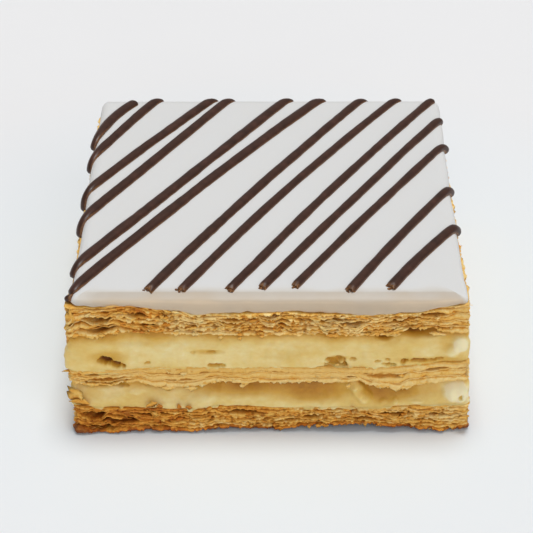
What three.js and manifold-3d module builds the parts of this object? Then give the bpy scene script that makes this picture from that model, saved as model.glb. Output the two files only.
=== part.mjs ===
// A mille feuille slice, cut square: three sheets of puff pastry with custard between them, a white icing
// and thirteen chocolate lines piped across it. Each layer is one solid that runs through the slice.
// Millimetres, +Z up. The cut front faces -Y, and the origin is the middle of the base.
import * as THREE from "three";
import { mergeVertices } from "three/addons/utils/BufferGeometryUtils.js";
import Module from "manifold-3d";

const wasm = await Module();
wasm.setup();

// ---- Driving dimensions -------------------------------------------------------------------------

const CORNER = 3; // radius of the slice's upright corners
const LAYER_GAP = 0.3; // between one layer and the next
const RIM_INSET = 2.2; // how far inside its outline a layer meets the one above or below

// The joints between layers: height in the middle of the slice, and rise for each millimetre to the right.
const JOINTS = {
  floor: { height: 0, rise: 0 },
  baseTop: { height: 6.5, rise: 0.012 },
  lowerCustardTop: { height: 13.6, rise: 0.024 },
  middleTop: { height: 18.5, rise: 0.03 },
  upperCustardTop: { height: 26.9, rise: 0.028 },
  pastryTop: { height: 32.8, rise: 0.014 },
  icingTop: { height: 36, rise: 0 },
};

// A sheet's leaves are the thin layers of dough that show as lips at its sides. `ragged` is how unevenly
// the lips stand out, `slot` how deep the gaps between them run and `wander` how far the gaps rise and fall.
const PASTRY_SHEETS = [
  {
    name: "pastry_base",
    under: "floor",
    over: "baseTop",
    outline: { left: -44.1, right: 44.8, front: -45.7, back: 45.6 },
    leaves: 4,
    ragged: 0.7,
    slot: 1.6,
    wander: 0.4,
    seed: 11,
    color: 0xa8692c,
  },
  {
    name: "pastry_middle",
    under: "lowerCustardTop",
    over: "middleTop",
    outline: { left: -44.8, right: 44.2, front: -45.8, back: 45.6 },
    leaves: 3,
    ragged: 0.7,
    slot: 1.1,
    wander: 0.45,
    seed: 23,
    color: 0xd3a866,
  },
  {
    name: "pastry_top",
    under: "upperCustardTop",
    over: "pastryTop",
    outline: { left: -43.9, right: 44.4, front: -45.6, back: 45.4 },
    leaves: 4,
    ragged: 0.7,
    slot: 1.5,
    wander: 0.35,
    seed: 37,
    color: 0xc6955a,
  },
];
// Where a lip's two edges lie in the height of its leaf, and how near the outermost ones come to the sheet's
// faces.
const LEAF_LIP = { foot: 0.2, head: 0.8, outermost: 0.06 };

// The base's cut front arches up a little from the surface that the slice stands on.
const FRONT_ARCH = { x: 14, width: 46, height: 1.1 };

// `belly` gives the wall of a custard layer from its foot to its top: share of the height, and how far inside
// the outline. `lumps` is the unevenness of that wall, and `hollows` are the places where the foot of its cut
// front has come away from the sheet below.
const CUSTARD_LAYERS = [
  {
    name: "custard_lower",
    under: "baseTop",
    over: "lowerCustardTop",
    outline: { left: -43.8, right: 44.2, front: -45.6, back: 45.2 },
    belly: [
      { share: 0.05, inset: 1 },
      { share: 0.34, inset: 0.8 },
      { share: 0.66, inset: 1.6 },
      { share: 0.95, inset: 2.3 },
    ],
    lumps: 0.6,
    hollows: [],
    seed: 51,
    color: 0xe0c584,
  },
  {
    name: "custard_upper",
    under: "middleTop",
    over: "upperCustardTop",
    outline: { left: -43.9, right: 44.1, front: -45.6, back: 45.2 },
    belly: [
      { share: 0.05, inset: 0.9 },
      { share: 0.34, inset: 0.4 },
      { share: 0.68, inset: 0.5 },
      { share: 0.95, inset: 1.1 },
    ],
    lumps: 0.45,
    hollows: [
      { x: -35, width: 8, depth: 1.7 },
      { x: 17.5, width: 7, depth: 1.5 },
    ],
    seed: 67,
    color: 0xe6cf92,
  },
];
const HOLLOW_REACH = 0.5; // share of the layer's height that a hollow takes

// `edge` is the icing's rounded edge from its lip up to its flat top: share of the thickness, and inset from
// the outline. `waver` is the unevenness of that edge in plan.
const ICING = {
  name: "icing",
  outline: { left: -43.3, right: 43.7, front: -45.9, back: 45.8 },
  edge: [
    { share: 0.08, inset: 0.5 },
    { share: 0.35, inset: 0 },
    { share: 0.74, inset: 0.5 },
    { share: 0.95, inset: 1.6 },
    { share: 1, inset: 2.6 },
  ],
  waver: 0.35,
  seed: 83,
  color: 0xf3f1ec,
};

// The chocolate lines, from left to right: where each crosses the slice's middle, and its lean in degrees
// from the front-to-back direction. The first six run off the left side, where `hang` is how far they reach
// down. The others were cut with the slice at its front.
const CHOCOLATE_LINES = [
  { crossing: -53.4, lean: 22, hang: 3.6 },
  { crossing: -51.1, lean: 25.6, hang: 5.2 },
  { crossing: -43.4, lean: 31.6, hang: 6 },
  { crossing: -36.2, lean: 29.2, hang: 5.6 },
  { crossing: -23.5, lean: 31.4, hang: 4.4 },
  { crossing: -17.1, lean: 32.5, hang: 2.6 },
  { crossing: -3.1, lean: 29.6 },
  { crossing: 4.6, lean: 30.5 },
  { crossing: 15, lean: 30 },
  { crossing: 22.3, lean: 30.3 },
  { crossing: 29.7, lean: 30.9 },
  { crossing: 41.8, lean: 30.1 },
  { crossing: 52.7, lean: 32.8 },
];
const FAR_END_HANG = 2.8; // how far every line reaches down the back or the right side
const HANG_DRIFT = 0.35; // how far a hanging end runs on along its side, as a share of its hang
const CUT_INSET = 3.1; // from the icing's front to where the lines were cut, measured along a line
const BEAD = { halfWidth: 1.05, rise: 1, sink: 0.5, rootWidth: 0.7, arcSteps: 4 };
const DRIP_CLEARANCE = 0.35; // round a hanging end where the top sheet is cut away for it

// ---- Outline and unevenness ---------------------------------------------------------------------

const SIDE_STEPS = 21;
const CORNER_STEPS = 3;
const TURN = 2 * Math.PI;

// Places round the outline, anticlockwise from the front left corner. Each is either on a corner's arc, at an
// angle, or a share of the way along the side from that corner to the next.
function outlineStations() {
  const stations = [];
  for (let corner = 0; corner < 4; corner++) {
    const start = Math.PI + (corner * Math.PI) / 2;
    for (let i = 0; i < CORNER_STEPS; i++) {
      const angle = start + ((i / CORNER_STEPS) * Math.PI) / 2;
      stations.push({ corner, angle, along: 0 });
    }
    for (let i = 0; i < SIDE_STEPS; i++) {
      stations.push({ corner, angle: start + Math.PI / 2, along: i / SIDE_STEPS });
    }
  }
  return stations.map((station, i) => ({ ...station, lap: i / stations.length }));
}
const STATIONS = outlineStations();

// The point of an outline at a station, moved inwards by `inset`.
function outlinePoint({ left, right, front, back }, { corner, angle, along }, inset) {
  const centres = [
    [left + CORNER, front + CORNER],
    [right - CORNER, front + CORNER],
    [right - CORNER, back - CORNER],
    [left + CORNER, back - CORNER],
  ];
  const [x0, y0] = centres[corner];
  const [x1, y1] = centres[(corner + 1) % 4];
  const reach = CORNER - inset;
  const x = x0 + (x1 - x0) * along + Math.cos(angle) * reach;
  const y = y0 + (y1 - y0) * along + Math.sin(angle) * reach;
  return [x, y];
}

function isOnFront({ corner, along }) {
  return corner === 0 && along > 0;
}

// A fixed, scattered angle for each seed and term.
function phase(seed, term) {
  const scattered = Math.sin(seed * 12.9898 + term * 78.233) * 43758.5453;
  return TURN * (scattered - Math.floor(scattered));
}

// Smooth unevenness between -1 and 1: `cycles` swells in a lap of the outline, with finer ones on top.
function ripple(lap, seed, cycles) {
  const swell = (share, times, term) =>
    share * Math.sin(TURN * Math.round(cycles * times) * lap + phase(seed, term));
  return swell(0.5, 1, 1) + swell(0.3, 1.7, 2) + swell(0.2, 2.9, 3);
}

// A smooth hump of height 1 round `x`.
function hump(at, { x, width }) {
  const away = (at - x) / (width / 2);
  return Math.exp(-away * away);
}

function jointHeight(joint, x) {
  return JOINTS[joint].height + JOINTS[joint].rise * x;
}

// ---- Layers as stacks of rings ------------------------------------------------------------------

// A closed solid from rings of points, one above the other, whose first and last rings are flat.
function ringSolid(rings) {
  const count = STATIONS.length;
  const faces = [];
  for (let ring = 0; ring + 1 < rings.length; ring++) {
    for (let i = 0; i < count; i++) {
      const a = ring * count + i;
      const b = ring * count + ((i + 1) % count);
      faces.push(a, b, b + count, a, b + count, a + count);
    }
  }
  const flat = (ring) => ring.map(([x, y]) => new THREE.Vector2(x, y));
  const last = (rings.length - 1) * count;
  for (const [a, b, c] of THREE.ShapeUtils.triangulateShape(flat(rings[0]), [])) {
    faces.push(a, c, b);
  }
  for (const [a, b, c] of THREE.ShapeUtils.triangulateShape(flat(rings.at(-1)), [])) {
    faces.push(last + a, last + b, last + c);
  }
  const geometry = new THREE.BufferGeometry();
  geometry.setAttribute("position", new THREE.Float32BufferAttribute(rings.flat(2), 3));
  geometry.setIndex(faces);
  return geometry;
}

// The flat ring where a layer starts or ends, inside its outline and `offset` above the joint.
function rimRing(outline, joint, offset) {
  return STATIONS.map((station) => {
    const [x, y] = outlinePoint(outline, station, RIM_INSET);
    return [x, y, jointHeight(joint, x) + offset];
  });
}

// The height of the gap between two leaves of a sheet, counted from its underside, which is edge 0.
function leafEdge(sheet, station, x, edge) {
  const arched = sheet.under === "floor" && isOnFront(station);
  const bottom = jointHeight(sheet.under, x) + (arched ? FRONT_ARCH.height * hump(x, FRONT_ARCH) : 0);
  const top = jointHeight(sheet.over, x);
  const between = edge > 0 && edge < sheet.leaves;
  const lift = between ? sheet.wander * ripple(station.lap, sheet.seed + 3 * edge, 9) : 0;
  return bottom + ((top - bottom) * edge) / sheet.leaves + lift;
}

// One edge of a leaf's lip: `share` is its height within the leaf.
function lipRing(sheet, leaf, share) {
  const { outline, ragged, seed, leaves } = sheet;
  return STATIONS.map((station) => {
    const coarse = ripple(station.lap, seed + leaf, 14);
    const fine = ripple(station.lap, seed + leaf + leaves, 33);
    const [x, y] = outlinePoint(outline, station, ragged * (0.35 - 0.75 * coarse - 0.25 * fine));
    const low = leafEdge(sheet, station, x, leaf);
    const high = leafEdge(sheet, station, x, leaf + 1);
    return [x, y, low + (high - low) * share];
  });
}

// The floor of the gap above a leaf.
function slotRing(sheet, leaf) {
  const { outline, slot, seed } = sheet;
  return STATIONS.map((station) => {
    const depth = slot * (0.8 + 0.45 * ripple(station.lap, seed + 11 * leaf, 12));
    const [x, y] = outlinePoint(outline, station, 0.4 + depth);
    return [x, y, leafEdge(sheet, station, x, leaf + 1)];
  });
}

function pastryGeometry(sheet) {
  const lift = sheet.under === "floor" ? 0 : LAYER_GAP / 2;
  const rings = [rimRing(sheet.outline, sheet.under, lift)];
  const lastLeaf = sheet.leaves - 1;
  for (let leaf = 0; leaf <= lastLeaf; leaf++) {
    const foot = leaf === 0 ? LEAF_LIP.outermost : LEAF_LIP.foot;
    const head = leaf === lastLeaf ? 1 - LEAF_LIP.outermost : LEAF_LIP.head;
    rings.push(lipRing(sheet, leaf, foot), lipRing(sheet, leaf, head));
    if (leaf < lastLeaf) {
      rings.push(slotRing(sheet, leaf));
    }
  }
  rings.push(rimRing(sheet.outline, sheet.over, -LAYER_GAP / 2));
  return ringSolid(rings);
}

function custardGeometry({ under, over, outline, belly, lumps, hollows, seed }) {
  const mostInset = CORNER - 0.2;
  const rings = [rimRing(outline, under, LAYER_GAP / 2)];
  belly.forEach(({ share, inset }, row) => {
    const ring = STATIONS.map((station) => {
      const [at] = outlinePoint(outline, station, 0);
      const hollowed = isOnFront(station) && share < HOLLOW_REACH ? hollows : [];
      const hollow = hollowed.reduce((sum, each) => sum + each.depth * hump(at, each), 0);
      const lump = lumps * ripple(station.lap, seed + row, 11);
      const inwards = THREE.MathUtils.clamp(inset - lump + hollow, 0, mostInset);
      const [x, y] = outlinePoint(outline, station, inwards);
      const bottom = jointHeight(under, x) + LAYER_GAP / 2;
      const top = jointHeight(over, x) - LAYER_GAP / 2;
      return [x, y, bottom + (top - bottom) * share];
    });
    rings.push(ring);
  });
  rings.push(rimRing(outline, over, -LAYER_GAP / 2));
  return ringSolid(rings);
}

// The icing without its chocolate.
function icingGeometry({ outline, edge, waver, seed }) {
  const rings = [rimRing(outline, "pastryTop", LAYER_GAP / 2)];
  for (const { share, inset } of edge) {
    const ring = STATIONS.map((station) => {
      const [x, y] = outlinePoint(outline, station, inset - waver * ripple(station.lap, seed, 10));
      const bottom = jointHeight("pastryTop", x) + LAYER_GAP / 2;
      return [x, y, bottom + (jointHeight("icingTop", x) - bottom) * share];
    });
    rings.push(ring);
  }
  return ringSolid(rings);
}

// ---- Chocolate lines ----------------------------------------------------------------------------

// Where a line crosses the icing's outline at its near end: the front, or the left side if that comes first.
function nearEnd({ crossing, lean }) {
  const { left, front } = ICING.outline;
  const slope = Math.tan(THREE.MathUtils.degToRad(lean));
  const x = crossing + slope * front;
  if (x >= left) {
    return { side: "front", x, y: front };
  }
  return { side: "left", x: left, y: (left - crossing) / slope };
}

// The same at its far end: the back, or the right side if that comes first.
function farEnd({ crossing, lean }) {
  const { right, back } = ICING.outline;
  const slope = Math.tan(THREE.MathUtils.degToRad(lean));
  const x = crossing + slope * back;
  if (x <= right) {
    return { side: "back", x, y: back };
  }
  return { side: "right", x: right, y: (right - crossing) / slope };
}

// The points of a hanging end, from the icing's flat top over its rounded edge and down its side, where the
// end runs on a little. `heading` is the line's direction towards that end.
function drip({ side, x, y }, heading, hang) {
  const corner = new THREE.Vector3(x, y, JOINTS.icingTop.height);
  const outwards = new THREE.Vector3(...{ left: [-1, 0, 0], right: [1, 0, 0], back: [0, 1, 0] }[side]);
  const onwards = heading.clone().projectOnPlane(outwards).multiplyScalar(HANG_DRIFT * hang);
  const down = new THREE.Vector3(0, 0, -1);
  const steps = [
    { before: 2.6, out: 0, below: 0, run: 0 },
    { before: 0.7, out: 0, below: 0.5, run: 0 },
    { before: 0, out: 0.1, below: 1.6, run: 0.4 },
    { before: 0, out: 0.35, below: hang, run: 1 },
  ];
  return steps.map(({ before, out, below, run }) =>
    corner
      .clone()
      .addScaledVector(heading, -before)
      .addScaledVector(outwards, out)
      .addScaledVector(down, below)
      .addScaledVector(onwards, run),
  );
}

// The path of a line's foot, from its near end to its far end.
function linePath(line) {
  const near = nearEnd(line);
  const far = farEnd(line);
  const onward = new THREE.Vector3(far.x - near.x, far.y - near.y, 0).normalize();
  const last = drip(far, onward, FAR_END_HANG);
  if (near.side === "left") {
    return [...drip(near, onward.clone().negate(), line.hang).reverse(), ...last];
  }
  const cut = new THREE.Vector3(near.x, near.y, JOINTS.icingTop.height).addScaledVector(onward, CUT_INSET);
  return [cut, ...last];
}

// The section of a line, as places sideways and upwards: an arc above its foot, and a narrower root sunk in
// what carries it. `grow` widens it all round.
function beadSection(grow) {
  const { halfWidth, rise, sink, rootWidth, arcSteps } = BEAD;
  const lowest = Math.PI / 18;
  const arc = Array.from({ length: arcSteps + 1 }, (_, i) => {
    const angle = lowest + ((Math.PI - 2 * lowest) * i) / arcSteps;
    return [Math.cos(angle) * (halfWidth + grow), Math.sin(angle) * (rise + grow)];
  });
  const root = [-rootWidth, rootWidth].map((aside) => [aside + Math.sign(aside) * grow, -sink - grow]);
  return [...arc, ...root];
}

// A closed bar with the line's section along a path, `grow` longer at both ends.
function beadSolid(path, grow = 0) {
  const section = beadSection(grow);
  const sides = section.length;
  const heading = path.at(-1).clone().sub(path[0]).setZ(0).normalize();
  const sideways = new THREE.Vector3().crossVectors(heading, new THREE.Vector3(0, 0, 1));
  const places = [];
  path.forEach((point, i) => {
    const atStart = i === 0;
    const atEnd = i === path.length - 1;
    const before = path[atStart ? 0 : i - 1];
    const after = path[atEnd ? i : i + 1];
    const tangent = after.clone().sub(before).normalize();
    const outwards = new THREE.Vector3().crossVectors(sideways, tangent).normalize();
    const foot = point.clone().addScaledVector(tangent, grow * (Number(atEnd) - Number(atStart)));
    for (const [aside, up] of section) {
      places.push(foot.clone().addScaledVector(sideways, aside).addScaledVector(outwards, up));
    }
  });
  const faces = [];
  for (let i = 0; i + 1 < path.length; i++) {
    for (let k = 0; k < sides; k++) {
      const a = i * sides + k;
      const b = i * sides + ((k + 1) % sides);
      faces.push(a, b + sides, b, a, a + sides, b + sides);
    }
  }
  const last = (path.length - 1) * sides;
  for (let k = 1; k + 1 < sides; k++) {
    faces.push(0, k, k + 1, last, last + k + 1, last + k);
  }
  const geometry = new THREE.BufferGeometry().setFromPoints(places);
  geometry.setIndex(faces);
  return geometryToSolid(geometry);
}

// ---- Between three.js and manifold-3d -----------------------------------------------------------

function geometryToSolid(geometry) {
  const merged = mergeVertices(geometry);
  const vertProperties = merged.attributes.position.array;
  const triVerts = new Uint32Array(merged.index.array);
  return new wasm.Manifold(new wasm.Mesh({ numProp: 3, vertProperties, triVerts }));
}

function solidToGeometry(solid) {
  const { vertProperties, triVerts } = solid.getMesh();
  const geometry = new THREE.BufferGeometry();
  geometry.setAttribute("position", new THREE.BufferAttribute(vertProperties, 3));
  geometry.setIndex(new THREE.BufferAttribute(triVerts, 1));
  return geometry;
}

// ---- The slice ----------------------------------------------------------------------------------

const linePaths = CHOCOLATE_LINES.map(linePath);

// The icing with the chocolate lines fused on.
function icedGeometry() {
  const bare = geometryToSolid(icingGeometry(ICING));
  const beads = linePaths.map((path) => beadSolid(path));
  return solidToGeometry(beads.reduce((solid, bead) => solid.add(bead), bare));
}

// The top sheet is cut away where the chocolate hangs down its sides.
function clearOfDrips(geometry) {
  const whole = geometryToSolid(geometry);
  const cutters = linePaths.map((path) => beadSolid(path, DRIP_CLEARANCE));
  return solidToGeometry(cutters.reduce((solid, cutter) => solid.subtract(cutter), whole));
}

function addMesh(group, { name, color }, geometry, roughness) {
  const faceted = geometry.toNonIndexed();
  faceted.computeVertexNormals();
  const mesh = new THREE.Mesh(faceted, new THREE.MeshStandardMaterial({ color, roughness, metalness: 0 }));
  mesh.name = name;
  group.add(mesh);
}

const slice = new THREE.Group();
for (const sheet of PASTRY_SHEETS) {
  const geometry = pastryGeometry(sheet);
  addMesh(slice, sheet, sheet.over === "pastryTop" ? clearOfDrips(geometry) : geometry, 0.75);
}
for (const layer of CUSTARD_LAYERS) {
  addMesh(slice, layer, custardGeometry(layer), 0.45);
}
addMesh(slice, ICING, icedGeometry(), 0.35);

export default slice;
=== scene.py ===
import math

import bpy
import numpy as np
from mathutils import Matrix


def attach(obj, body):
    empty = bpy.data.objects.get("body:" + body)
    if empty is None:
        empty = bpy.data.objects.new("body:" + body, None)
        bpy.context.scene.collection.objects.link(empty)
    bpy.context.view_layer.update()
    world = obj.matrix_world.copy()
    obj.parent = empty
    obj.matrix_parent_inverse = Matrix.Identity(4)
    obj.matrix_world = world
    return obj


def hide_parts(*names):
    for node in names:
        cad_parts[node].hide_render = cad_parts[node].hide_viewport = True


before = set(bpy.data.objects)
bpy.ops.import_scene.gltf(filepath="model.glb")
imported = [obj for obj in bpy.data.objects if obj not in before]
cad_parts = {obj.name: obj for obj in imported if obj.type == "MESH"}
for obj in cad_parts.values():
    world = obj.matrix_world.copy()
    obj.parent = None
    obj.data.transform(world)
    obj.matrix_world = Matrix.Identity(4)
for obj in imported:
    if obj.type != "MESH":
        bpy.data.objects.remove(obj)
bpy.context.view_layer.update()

# A mille feuille slice: three sheets of puff pastry built leaf by leaf, two custard layers, a white icing and
# the chocolate lines on it. Lengths are in millimetres until a mesh is made. The cut front faces -Y.

# ---- Driving dimensions, as in the slice's solids ----

MM = 0.001
LAYER_GAP = 0.3  # between one layer and the next
PASTRY_CORNER = 1.5  # radius of the upright corners
ICING_CORNER = 2.2
ICING_TOP = 36
FRONT_Y = -46.2
FRONT_REACH = 14.0  # how far behind the cut front its own heights fade into the plain ones

# The joints between layers: height in the middle, rise for each millimetre to the right, unevenness, and the
# (x, height) knots along the cut front.
JOINTS = {
    "floor": (0, 0, 0, [
        (-44, 0.2), (-30, 0.3), (-26, 0.5), (-22, 0.2), (-18, 0.3), (-12, 0.8), (-9, 1.0), (-4, 0.5),
        (1, 0.5), (7, 1.0), (12, 1.4), (19, 2.1), (24, 1.6), (34, 0.8), (40, 0.3), (44, 0.2),
    ]),
    "base_top": (6.5, 0.012, 0.35, [
        (-44, 7.2), (-38, 6.5), (-29, 6.4), (-17, 5.9), (-15, 6.0), (-12.5, 6.9), (-2, 6.9), (2, 6.4),
        (8, 6.3), (16, 6.6), (22, 6.4), (30, 6.9), (38, 7.3), (44, 7.6),
    ]),
    "lower_custard_top": (13.6, 0.024, 0.3, [
        (-44, 13.5), (-41, 12.9), (-35.5, 12.6), (-33, 13.6), (-29, 13.9), (-25.5, 12.5), (-17, 12.3),
        (-11, 14.1), (-6, 13.1), (-3, 13.8), (16, 13.5), (20, 13.9), (23, 12.4), (28, 11.9), (31, 12.2),
        (36, 13.4), (44, 14.3),
    ]),
    "middle_top": (18.5, 0.03, 0.35, [
        (-44, 17.2), (-34, 17.3), (-29, 18), (-20, 18.3), (-12, 18), (0, 18.2), (14, 18.1), (24, 17.8),
        (30, 18.6), (38, 19.4), (44, 19.6),
    ]),
    "upper_custard_top": (26.9, 0.028, 0.35, [
        (-43, 26), (-38, 25.9), (-33, 27.2), (-25, 26.9), (-10, 26.5), (8, 26.9), (14, 26.2), (26, 26.5),
        (28.5, 27.1), (30.5, 28.1), (36, 28.1), (39, 27.1), (44, 26.8),
    ]),
    "pastry_top": (33.0, 0.012, 0.15, [
        (-43, 34.1), (-38, 33.9), (-32.5, 34.4), (-27, 34.2), (-24.5, 33.4), (-19.5, 33.3), (-17, 32.2),
        (-9, 32.4), (1, 32.8), (5, 32.9), (9, 32.5), (17, 32.0), (24, 31.9), (28, 32.7), (33, 33.2),
        (38, 34.1), (43, 34.7),
    ]),
    "icing_top": (ICING_TOP, 0, 0, [(0, ICING_TOP)]),
}

# The pastry sheets. `outline` is left, right, front and back, and `slant` how much further out the left side
# stands by the cut front. Along the front, the bake knots give how brown a sheet is, from 0 to 1, and where
# they are lower at the right end they are partly painted light from the right; `upper_bake` is how much
# browner its top leaf is than its lowest, `crumb` how finely it is broken, `smear` how much custard the knife
# drew over it, and `foot` how far its lowest leaf stands out. `sole` is how much browner its underside is.
# `gaps` are the wide openings between its leaves there: x, height, half width, and height of the opening.
# `flakes` and `teeth` are how many loose scraps stand out from its sides and hang from its lower edge.
# `scraps` are those that stand out most in front: x, height, length, width, roll and tip in degrees, bake.
SHEETS = [{
    "name": "base_sheet", "node": "pastry_base", "slot": "pastry_dark", "under": "floor", "over": "base_top",
    "outline": (-44.3, 45.1, FRONT_Y, 45.6), "leaves": 8, "seed": 11, "sole": 0.9, "flakes": 170, "teeth": 40,
    "bake": [
        (-44, 0.66), (-34, 0.7), (-28, 0.68), (-18, 0.6), (-8, 0.54), (14, 0.5), (19, 0.44), (24, 0.48),
        (36, 0.44), (41, 0.36), (44, 0.28),
    ],
    "upper_bake": [(-44, -0.15), (-34, 0.15), (-8, 0.25), (2, 0.0), (38, 0.0), (44, -0.15)],
    "foot": [(-44, 1.3), (-30, 1.2), (-18, 0.9), (-8, 0.5), (10, 0.3), (38, 0.4), (44, -0.6)],
    "crumb": [(-44, 0.5), (-26, 0.5), (-14, 0.7), (12, 0.8), (22, 0.6), (36, 0.7), (44, 0.4)],
    "smear": [(-44, 0), (38, 0), (44, 0.3)],
    "gaps": [
        (-39.9, 4.3, 3.2, 1.9), (-33.9, 2.7, 4.6, 1.5), (-38, 1.2, 2.6, 1.0), (-26, 5.0, 5, 0.7),
        (-16, 4.6, 4, 0.4), (-6, 4.9, 6, 0.7), (9.5, 3.8, 2.4, 0.9), (3.5, 3.0, 3.5, 0.7),
        (20, 3.2, 5, 0.5), (28.5, 4.5, 4.5, 1.3), (39, 4.7, 4.0, 0.8), (34, 2.8, 5, 0.5),
    ],
    "scraps": [
        (-26.5, 7.2, 3.0, 2.4, 25, 65, 0.45), (-24.7, 6.6, 1.5, 2.2, 0, 70, 0.66),
        (-20.3, 6.4, 1.1, 2.0, 10, 75, 0.62), (-18.1, 6.4, 1.6, 2.1, -10, 70, 0.7),
        (-26.7, 5.2, 3.2, 1.5, -50, 30, 0.4), (-41.7, 7.2, 3.0, 1.4, 10, 30, 0.45),
        (-43.4, 8.2, 4.2, 4.6, 38, 84, 0.26), (-42.4, 7.6, 4.6, 2.6, -12, 80, 0.32),
        (-43.9, 8.2, 2.6, 1.8, 20, 20, 0.35), (-43.2, 8.8, 3.8, 4.0, -40, 82, 0.3),
        (43.6, 4.3, 3.2, 2.2, -10, 0, 0.3), (43.6, 9.6, 1.6, 1.4, 70, 40, 0.6),
        (18.8, 7.0, 1.6, 0.7, -20, 30, 0.8), (36, 6.0, 6.0, 1.2, -6, 10, 0.3),
    ],
}, {
    "name": "middle_sheet", "node": "pastry_middle", "slot": "pastry_pale",
    "under": "lower_custard_top", "over": "middle_top",
    "outline": (-45.0, 44.6, FRONT_Y, 45.6), "leaves": 6, "seed": 23, "flakes": 90, "teeth": 150,
    "bake": [(-44, 0.42), (-32, 0.34), (-24, 0.24), (20, 0.2), (30, 0.26), (36, 0.3), (44, 0.24)],
    "crumb": [(-44, 0.45), (-32, 0.35), (-22, 0.22), (20, 0.16), (27, 0.2), (36, 0.15), (44, 0.2)],
    "smear": [(-44, 0.3), (-34, 0.45), (-26, 0.65), (0, 0.65), (16, 0.6), (26, 0.6), (34, 0.2), (44, 0.35)],
    "gaps": [
        (-38, 15.6, 4.5, 0.5), (-37, 14.3, 5.5, 0.6), (-35, 13.4, 5, 0.4), (-22, 14.8, 1.6, 0.3),
        (-18.9, 14.3, 1.6, 0.25), (26.3, 15.0, 4.7, 1.0),
    ],
    "scraps": [
        (15.0, 18.5, 0.9, 1.3, 0, 60, 0.1), (16.9, 18.3, 1.8, 0.9, 10, 20, 0.1),
        (28.3, 12.4, 2.6, 1.4, 0, -75, 0.15), (30.9, 12.6, 2.0, 1.2, 8, -75, 0.2),
        (25.0, 12.7, 3.0, 1.0, 0, -70, 0.15), (17.6, 13.1, 1.2, 1.4, 0, -75, 0.1),
        (-6, 13.1, 1.4, 1.2, 0, -75, 0.15), (-22.5, 12.6, 3.4, 1.2, 0, -60, 0.15),
        (-17.5, 12.5, 3.0, 1.3, 0, -60, 0.1), (-39.5, 13.6, 3.2, 1.4, -8, -40, 0.3),
        (-44.9, 16.4, 2.0, 1.6, 20, 0, 0.3),
    ],
}, {
    "name": "top_sheet", "node": "pastry_top", "slot": "pastry_golden",
    "under": "upper_custard_top", "over": "pastry_top", "slant": 0.9,
    "outline": (-44.2, 43.9, FRONT_Y, 45.8), "leaves": 8, "seed": 37, "flakes": 240, "teeth": 120,
    "bake": [
        (-44, 0.38), (-34, 0.42), (-31, 0.52), (-28, 0.66), (-25, 0.5), (-18, 0.22), (-10, 0.25), (-6, 0.45),
        (4, 0.42), (12, 0.32), (22, 0.38), (30, 0.42), (38, 0.38), (44, 0.2),
    ],
    "crumb": [
        (-44, 0.2), (-34, 0.35), (-31, 1), (-24, 1), (-18, 0.75), (-8, 0.75), (-2, 1), (12, 0.9),
        (22, 0.7), (34, 0.6), (41, 0.2), (44, 0.1),
    ],
    "smear": [(-44, 0), (37, 0), (43, 0.4)],
    "gaps": [
        (-36.5, 32.5, 3.6, 0.6), (-37.6, 30.3, 3.6, 1.2), (-37.3, 27.0, 4.5, 0.9), (-41, 29.0, 2.5, 0.5),
        (-29.0, 31.4, 2.4, 0.9), (-26.6, 29.8, 2.2, 0.8), (-8.3, 31.1, 2.6, 0.9), (0, 31.9, 2.4, 0.9),
        (0, 29.0, 5, 0.5), (8.0, 31.9, 2.6, 0.5), (13.0, 30.7, 5.0, 0.7), (18.0, 30.2, 3.0, 1.2),
        (28.5, 30.0, 5, 0.7), (21.0, 27.4, 1.6, 0.6), (35.5, 31.9, 3.4, 0.6),
    ],
    "scraps": [
        (-10.7, 26.3, 1.1, 1.3, 0, -80, 0.2), (-6.5, 26.2, 1.0, 1.4, 0, -80, 0.25),
        (-1.6, 26.5, 1.2, 1.0, 0, -80, 0.3), (36.9, 27.4, 4.0, 1.4, -8, -55, 0.15),
        (27.5, 27.0, 3.0, 1.0, 8, -50, 0.2), (-44.4, 26.4, 1.2, 2.6, 0, -85, 0.5),
        (-43.0, 27.0, 3.0, 1.6, 5, -40, 0.35), (-43.3, 29.4, 2.6, 4.4, 0, 85, 0.34),
        (-43.8, 26.8, 2.8, 3.0, 8, 82, 0.3), (42.6, 34.6, 3.0, 1.2, 10, 30, 0.3),
        (-34.5, 34.4, 4.0, 1.0, 8, 20, 0.35), (-30.0, 34.3, 3.0, 1.0, -8, 20, 0.5),
    ],
}]
SIDE_FOOT = 0.25  # how far the lowest leaf stands out on the other three sides
# What a sheet has unless the table says otherwise.
PLAIN_SHEET = {"slant": 0, "sole": 0, "upper_bake": [(0, 0)], "foot": [(0, SIDE_FOOT)]}
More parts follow.
